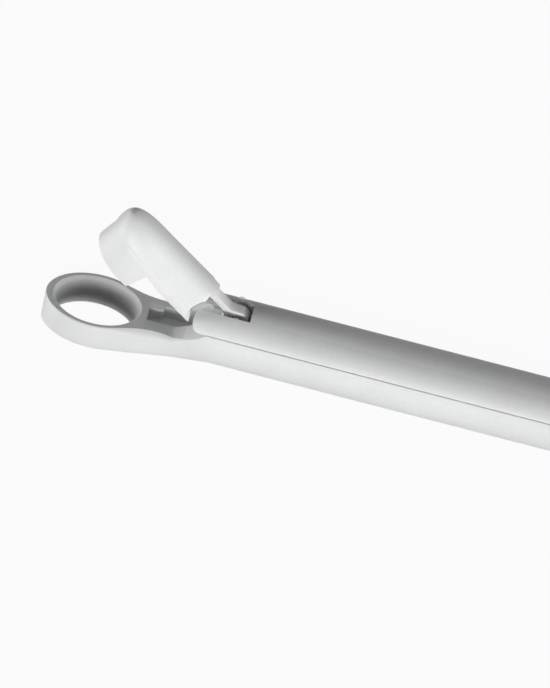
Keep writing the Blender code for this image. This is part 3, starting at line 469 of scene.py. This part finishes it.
def jaw_section(x, plug_half, half_width, bottom, rise, groove, roundness):
    """Upright walls up to a groove along the crease, and an arched crown that leans in from it."""
    plug_inset = half_width - plug_half
    walls = [(bottom, plug_inset), (UNDERSIDE_LEVEL, plug_inset),
             (UNDERSIDE_LEVEL + PLUG_BLEND_HEIGHT, 0.0), (CREASE_HEIGHT - 2.0 * GROOVE_WIDTH, 0.0),
             (CREASE_HEIGHT - GROOVE_WIDTH, 0.3 * groove), (CREASE_HEIGHT - 0.3 * GROOVE_WIDTH, groove)]
    loop = [Vector((x, y, half_width - inset)) for y, inset in walls]
    steps = 40
    foot = math.sin(CROWN_LEAN_IN)
    for step in range(steps + 1):
        angle = CROWN_LEAN_IN + (math.pi - 2 * CROWN_LEAN_IN) * step / steps
        run = abs(math.cos(angle) / math.cos(CROWN_LEAN_IN)) ** roundness
        across = half_width * math.copysign(run, math.cos(angle))
        up = rise * max((math.sin(angle) - foot) / (1.0 - foot), 0.0) ** roundness
        loop.append(Vector((x, CREASE_HEIGHT + up, across)))
    loop += [Vector((x, y, inset - half_width)) for y, inset in reversed(walls)]
    return loop


def overhang(level):
    """How far the jaw's front leans out and swells at a level, from the lip of the hole."""
    lip = JAW_FLAT - PIVOT.y - PUNCH_CLEARANCE
    above = min(max((level - lip) / (CROWN_HEIGHT - lip), 0.0), 1.0)
    return FRONT_LEAN * (level - lip) + FRONT_SWELL * math.sin(math.pi * above)


def crown_and_plug():
    """The solid of the upper jaw before it is cut: sections from its front to the crown's rear."""
    centre_x = -RING_CENTRE_AHEAD
    length_radius = HOLE_LENGTH_RADIUS - PUNCH_CLEARANCE
    half_width = HOLE_WIDTH_RADIUS - PUNCH_CLEARANCE
    bottom = UNDERSIDE_LEVEL - PUNCH_DEPTH
    stations = []
    front_steps = 36
    first = 4.0
    for step in range(front_steps):
        angle = math.radians(first + (90.0 - first) * step / (front_steps - 1))
        stations.append(centre_x - length_radius * math.cos(angle))
    rear_steps = 12
    rear_length = -CROWN_REAR_AHEAD - centre_x
    stations += [centre_x + rear_length * (step + 1) / rear_steps for step in range(rear_steps)]
    loops = []
    for x in stations:
        ahead = max(0.0, centre_x - x)
        front = ellipse_share(ahead, length_radius)
        full_front = ellipse_share(ahead, length_radius, FRONT_FULLNESS)
        rise = (CROWN_HEIGHT - CREASE_HEIGHT) * front ** CROWN_RISE
        groove = GROOVE_DEPTH * smooth_step(x, centre_x - GROOVE_START, centre_x - GROOVE_FULL)
        round_share = smooth_step(x, stations[0], centre_x + FRONT_BLEND)
        roundness = FRONT_ROUNDNESS + (1.0 - FRONT_ROUNDNESS) * round_share
        section = jaw_section(x, half_width * front, half_width * full_front,
                              bottom, rise, groove, roundness)
        lean = ahead / length_radius
        loops.append([Vector((point.x - lean * overhang(point.y), point.y, point.z)) for point in section])
    return bridge("upper_jaw_fine", loops)


def eye_ends():
    """Centres of the eye's long hole at both ends of the slider's travel."""
    lean = JAW_OPENING / 2
    return [(-reach * math.sin(lean), reach * math.cos(lean))
            for reach in (DRIVE_ARM, DRIVE_ARM / math.cos(lean))]


def tang_outline():
    """Side view of the tang: a strip from the crown, an eye for the drive pin and a foot."""
    near, far = eye_ends()
    eye = ((near[0] + far[0]) / 2, (near[1] + far[1]) / 2)
    buried = -CROWN_REAR_AHEAD - TANG_BURIED
    outline = [(buried, TANG_TOP), (buried, TANG_BOTTOM), (-BEND_AHEAD, TANG_BOTTOM)]
    outline += arc((-BEND_AHEAD, BEND_LEVEL), TANG_BOTTOM - BEND_LEVEL, 80.0, 20.0, 16)
    outline += arc((0.0, 0.0), FOOT_RADIUS, 185.0, 395.0, 48)
    outline += arc(eye, EYE_RADIUS, -15.0, 118.0, 32)
    outline += [(eye[0] - EYE_SHOULDER, TANG_TOP)]
    return outline


def make_upper_jaw():
    """The punch jaw, made closed in the frame of its pivot, then opened with it."""
    jaw = crown_and_plug()
    below = UNDERSIDE_LEVEL - PUNCH_DEPTH - CLEAR
    underside = [(-PLUG_REAR_AHEAD, below), (-PLUG_REAR_AHEAD, NOTCH_HEIGHT),
                 (-NOTCH_FRONT_AHEAD, UNDERSIDE_LEVEL), (0.0, UNDERSIDE_LEVEL), (0.0, below)]
    ledge = SHOULDER_HEIGHT + LEDGE_STEP
    relief = [(-CHEEK_RELIEF_AHEAD, ledge), (-CHEEK_RELIEF_REAR_AHEAD, ledge),
              (-CHEEK_RELIEF_REAR_AHEAD, JAW_REACH), (-CHEEK_RELIEF_AHEAD, JAW_REACH)]
    shoulder = turned_along_z((-SHOULDER_AHEAD, SHOULDER_HEIGHT), SHOULDER_RADIUS, -JAW_REACH, JAW_REACH, 96)
    carve(jaw, [prism(underside, -JAW_REACH, JAW_REACH), shoulder,
                prism(relief, CHEEK_RELIEF_HALF, JAW_REACH),
                prism(relief, -JAW_REACH, -CHEEK_RELIEF_HALF)])
    carve(jaw, [prism(tang_outline(), -TANG_HALF_THICKNESS, TANG_HALF_THICKNESS)], "UNION")
    eye = stadium(*eye_ends(), DRIVE_PIN_RADIUS + EYE_GAP, 24)
    carve(jaw, [turned_along_z((0.0, 0.0), JAW_PIN_RADIUS + PIN_CLEARANCE, -JAW_REACH, JAW_REACH),
                prism(eye, -JAW_REACH, JAW_REACH)])
    dress_edges(jaw, JAW_BEVEL, angle=50.0)
    jaw.data.transform(Matrix.Translation(PIVOT) @ Matrix.Rotation(-JAW_OPENING, 4, "Z"))
    shade(jaw, angle=40.0)
    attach(jaw, "jaw")
    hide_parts("upper_jaw")
    return jaw


def link_block():
    """The raised block over the link pin, with rounded upper corners and a slope ahead of it."""
    front_x = LINK_PIN.x - LINK_BLOCK_HALF_LENGTH
    rear_x = LINK_PIN.x + LINK_BLOCK_HALF_LENGTH
    corner_level = LINK_BLOCK_TOP - BLOCK_CORNER
    base = SLIDER_BASE + BLOCK_STEP
    outline = [(front_x - BLOCK_RAMP, SHAFT_RADIUS - BLOCK_RAMP_SINK)]
    outline += arc((front_x + BLOCK_CORNER, corner_level), BLOCK_CORNER, 130.0, 90.0, 12)
    outline += arc((rear_x - BLOCK_CORNER, corner_level), BLOCK_CORNER, 90.0, 0.0, 20)
    outline += [(rear_x, base), (front_x - BLOCK_RAMP, base)]
    block = prism(outline, AXIS_Z - LINK_BLOCK_HALF_WIDTH, AXIS_Z + LINK_BLOCK_HALF_WIDTH)
    dress_edges(block, BLOCK_BEVEL, angle=50.0, segments=4)
    return block


def make_slider():
    """The sliding half of the shaft: a forked round nose in front, a link block behind.

    Its side view stands above the shaft behind the nose, and a round bar trims it.
    """
    nose_radius = (SHAFT_RADIUS - SLIDER_BASE) / 2
    nose_x = PIVOT.x - SLIDER_NOSE_AHEAD + nose_radius
    rear_x = LINK_PIN.x + LINK_BLOCK_HALF_LENGTH
    bar_end = rear_x - BAR_END_INSET
    above = SHAFT_RADIUS + 0.5 * CLEAR
    side = arc((nose_x, SLIDER_BASE + nose_radius), nose_radius, 90.0, 270.0, 40)
    side += [(bar_end, SLIDER_BASE), (bar_end, above), (nose_x + 1.5 * CLEAR, above),
             (nose_x + 0.5 * CLEAR, SHAFT_RADIUS)]
    slider = bridge("slider_fine", [[Vector((x, y, z)) for x, y in side]
                                    for z in (AXIS_Z - above, AXIS_Z + above)])
    bar = bridge("tool", [[Vector((x, y, z)) for y, z in circle((0.0, AXIS_Z), SHAFT_RADIUS, 192)]
                          for x in (nose_x - 2.0 * CLEAR, rear_x + CLEAR)])
    carve(slider, [bar], "INTERSECT")
    carve(slider, [link_block()], "UNION")

    pocket = TONGUE_TIP_RADIUS + TONGUE_SWING
    drive_pin = (PIVOT.x + STROKE / 2, PIVOT.y + DRIVE_ARM)
    drive_radius = DRIVE_PIN_RADIUS + SOCKET_GAP
    reach = math.sqrt(SHAFT_RADIUS ** 2 - (drive_pin[1] + drive_radius) ** 2) - DRIVE_PIN_SKIN
    below = SLIDER_BASE - 0.5 * CLEAR
    tools = [box((nose_x - 2.0 * CLEAR, SLIDER_BASE - CLEAR, AXIS_Z - SLIDER_SLOT_HALF),
                 (PIVOT.x + SLIDER_SLOT_BEHIND, above + CLEAR, AXIS_Z + SLIDER_SLOT_HALF)),
             turned_along_z(drive_pin, drive_radius, AXIS_Z - SHAFT_RADIUS, AXIS_Z + reach),
             box((LINK_PIN.x - pocket, below, AXIS_Z - TONGUE_HALF - SIDE_GAP),
                 (LINK_PIN.x + pocket, LINK_BLOCK_TOP + 0.5 * CLEAR, AXIS_Z + TONGUE_HALF + SIDE_GAP)),
             turned_along_z(LINK_PIN, LINK_PIN_RADIUS + SOCKET_GAP, AXIS_Z - 4.0 * CLEAR,
                            AXIS_Z + 4.0 * CLEAR)]
    for x in (PIVOT.x + FRONT_STUD_BEHIND_PIVOT, -REAR_STUD_AHEAD_OF_HINGE):
        tools.append(turned_along_y(x, STUD_STEM_RADIUS + SOCKET_GAP, below, SLIDER_BASE + STUD_SEAT_DEPTH))
    carve(slider, tools)
    dress_edges(slider, SLIDER_BEVEL, angle=50.0)
    shade(slider, angle=40.0)
    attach(slider, "slider")
    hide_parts("slider")
    return slider


def link(tree, source, output, target, socket):
    tree.links.new(source.outputs[output], target.inputs[socket])


def add_noise(tree, source, output, scale, detail):
    noise = tree.nodes.new("ShaderNodeTexNoise")
    noise.inputs["Scale"].default_value = scale
    noise.inputs["Detail"].default_value = detail
    link(tree, source, output, noise, "Vector")
    return noise


def add_math(tree, operation, factor=None):
    node = tree.nodes.new("ShaderNodeMath")
    node.operation = operation
    if factor is not None:
        node.inputs[1].default_value = factor
    return node


def tinted(colour, strength):
    return (*(min(channel * strength, 1.0) for channel in colour), 1.0)


def steel(name):
    """Satin steel: fine grain along the shaft, soft clouds and small specks."""
    colour, roughness, metallic, grain = STEELS[name]
    material = bpy.data.materials.new(name)
    material.use_nodes = True
    tree = material.node_tree
    shader = tree.nodes["Principled BSDF"]
    shader.inputs["Metallic"].default_value = metallic
    shader.inputs["Specular IOR Level"].default_value = STEEL_SPECULAR
    place = tree.nodes.new("ShaderNodeTexCoord")
    stretch = tree.nodes.new("ShaderNodeMapping")
    stretch.inputs["Scale"].default_value = (GRAIN_STRETCH, 1.0, 1.0)
    link(tree, place, "Object", stretch, "Vector")
    brushed = add_noise(tree, stretch, "Vector", GRAIN_SCALE, 4.0)
    cloud = add_noise(tree, place, "Object", CLOUD_SCALE, 3.0)
    speck = add_noise(tree, place, "Object", SPECK_SCALE, 2.0)

    cloud_share = add_math(tree, "MULTIPLY", 1.0 - SPECK_SHARE)
    link(tree, cloud, "Fac", cloud_share, 0)
    both = add_math(tree, "MULTIPLY_ADD", SPECK_SHARE)
    link(tree, speck, "Fac", both, 0)
    link(tree, cloud_share, "Value", both, 2)
    tone = tree.nodes.new("ShaderNodeMix")
    tone.data_type = "RGBA"
    dark, light, mixed = tone.inputs[6], tone.inputs[7], tone.outputs[2]
    dark.default_value = tinted(colour, DARK_TINT)
    light.default_value = tinted(colour, LIGHT_TINT)
    link(tree, both, "Value", tone, 0)
    tree.links.new(mixed, shader.inputs["Base Color"])

    rough = tree.nodes.new("ShaderNodeMapRange")
    rough.inputs["From Min"].default_value = 0.3
    rough.inputs["From Max"].default_value = 0.7
    rough.inputs["To Min"].default_value = roughness - ROUGHNESS_BELOW
    rough.inputs["To Max"].default_value = roughness + ROUGHNESS_ABOVE
    link(tree, brushed, "Fac", rough, "Value")
    link(tree, rough, "Result", shader, "Roughness")

    bump = tree.nodes.new("ShaderNodeBump")
    bump.inputs["Strength"].default_value = grain
    bump.inputs["Distance"].default_value = GRAIN_HEIGHT
    link(tree, brushed, "Fac", bump, "Height")
    link(tree, bump, "Normal", shader, "Normal")
    return material


def set_material(piece, material):
    piece.data.materials.clear()
    piece.data.materials.append(material)


def pale_floor():
    """A floor that keeps shadows, and looks pale to the camera and in reflections."""
    material = bpy.data.materials.new("pale_floor")
    material.use_nodes = True
    tree = material.node_tree
    shader = tree.nodes["Principled BSDF"]
    shader.inputs["Base Color"].default_value = (FLOOR_TONE, FLOOR_TONE, FLOOR_TONE, 1.0)
    shader.inputs["Roughness"].default_value = 0.9
    glow = tree.nodes.new("ShaderNodeEmission")
    glow.inputs["Strength"].default_value = 1.0
    path = tree.nodes.new("ShaderNodeLightPath")
    seen = add_math(tree, "MAXIMUM")
    link(tree, path, "Is Camera Ray", seen, 0)
    link(tree, path, "Is Glossy Ray", seen, 1)
    through = add_math(tree, "MAXIMUM")
    link(tree, seen, "Value", through, 0)
    link(tree, path, "Is Transmission Ray", through, 1)
    share = add_math(tree, "MULTIPLY", FLOOR_GLOW_SHARE)
    link(tree, through, "Value", share, 0)
    mix = tree.nodes.new("ShaderNodeMixShader")
    link(tree, share, "Value", mix, 0)
    link(tree, shader, "BSDF", mix, 1)
    link(tree, glow, "Emission", mix, 2)
    link(tree, mix, "Shader", tree.nodes["Material Output"], "Surface")
    return material


def make_floor():
    builder = bmesh.new()
    corners = [(-FLOOR_HALF, -FLOOR_HALF), (FLOOR_HALF, -FLOOR_HALF),
               (FLOOR_HALF, FLOOR_HALF), (-FLOOR_HALF, FLOOR_HALF)]
    builder.faces.new([builder.verts.new((x + FLOOR_CENTRE_X, y, FLOOR_LEVEL)) for x, y in corners])
    floor = add_object("floor", builder)
    set_material(floor, pale_floor())


def add_lamp(name, direction, power):
    """A soft round lamp that looks at the camera's target from a direction."""
    data = bpy.data.lights.new(name, "AREA")
    data.shape = "DISK"
    data.size = LAMP_SIZE
    data.energy = power
    lamp = bpy.data.objects.new(name, data)
    away = Vector(direction).normalized()
    lamp.location = CAMERA_TARGET + away * LAMP_DISTANCE
    lamp.rotation_euler = away.to_track_quat("Z", "Y").to_euler()
    bpy.context.collection.objects.link(lamp)


def make_light():
    world = bpy.data.worlds.new("studio")
    world.use_nodes = True
    background = world.node_tree.nodes["Background"]
    background.inputs["Color"].default_value = (1.0, 1.0, 1.0, 1.0)
    background.inputs["Strength"].default_value = WORLD_STRENGTH
    bpy.context.scene.world = world
    for name, (direction, power) in LAMPS.items():
        add_lamp(name, direction, power)


def make_camera():
    """The photograph's view of the jaws, from above and from the opening side."""
    back = CAMERA_AWAY.normalized()
    right = CAMERA_UP.cross(back).normalized()
    up = back.cross(right).normalized()
    data = bpy.data.cameras.new("camera")
    data.lens = 300.0
    data.sensor_width = 36.0
    data.clip_start = 0.01
    camera = bpy.data.objects.new("camera", data)
    turn = Matrix((right, up, back)).transposed().to_4x4()
    camera.matrix_world = Matrix.Translation(CAMERA_TARGET + back * CAMERA_DISTANCE) @ turn
    bpy.context.collection.objects.link(camera)
    bpy.context.scene.camera = camera


def main():
    steels = {name: steel(name) for name in STEELS}
    set_material(make_lower_shaft(), steels["shaft_steel"])
    set_material(make_upper_jaw(), steels["jaw_steel"])
    set_material(make_slider(), steels["shaft_steel"])
    for name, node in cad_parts.items():
        if name not in REPLACED_NODES:
            set_material(node, steels["handle_steel" if name in HANDLE_NODES else "pin_steel"])
    make_floor()
    make_light()
    make_camera()
    bpy.context.scene.view_settings.view_transform = "Standard"


main()
